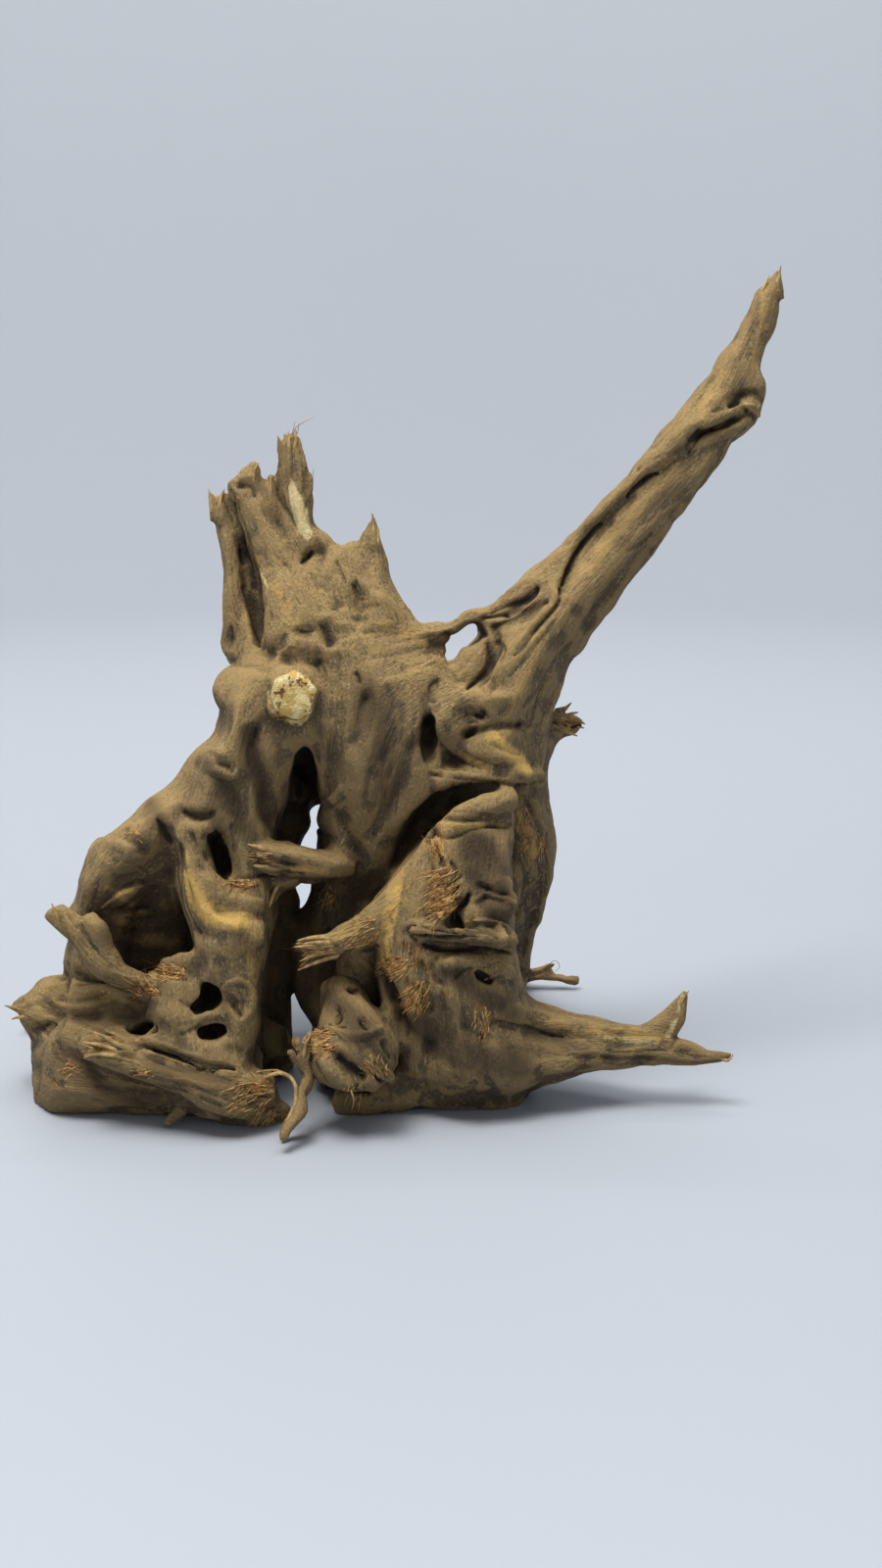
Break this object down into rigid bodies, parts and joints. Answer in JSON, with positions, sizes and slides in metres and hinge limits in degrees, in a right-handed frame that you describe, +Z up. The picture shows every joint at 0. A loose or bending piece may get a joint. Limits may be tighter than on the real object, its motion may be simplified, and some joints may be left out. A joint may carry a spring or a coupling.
{
  "type": "horn driftwood",
  "caption": "Weathered driftwood stump with a long leaning horn, a splintered crown and rotted root legs; stands as a display or tank ornament.",
  "frame": {"origin": "centre of the bounding box, in the plane that the wood rests on", "axes": "+Z up; -Y towards the pictured side, with the sawn stub; +X to the right seen from there, where the horn leans"},
  "size_m": [0.4156, 0.2673, 0.4224],
  "materials": {
    "wood": "dry, matt and weathered, brown-grey with ochre ridges and orange torn fibre"
  },
  "bodies": {
    "root": {"driftwood": "wood"}
  },
  "joints": []
}
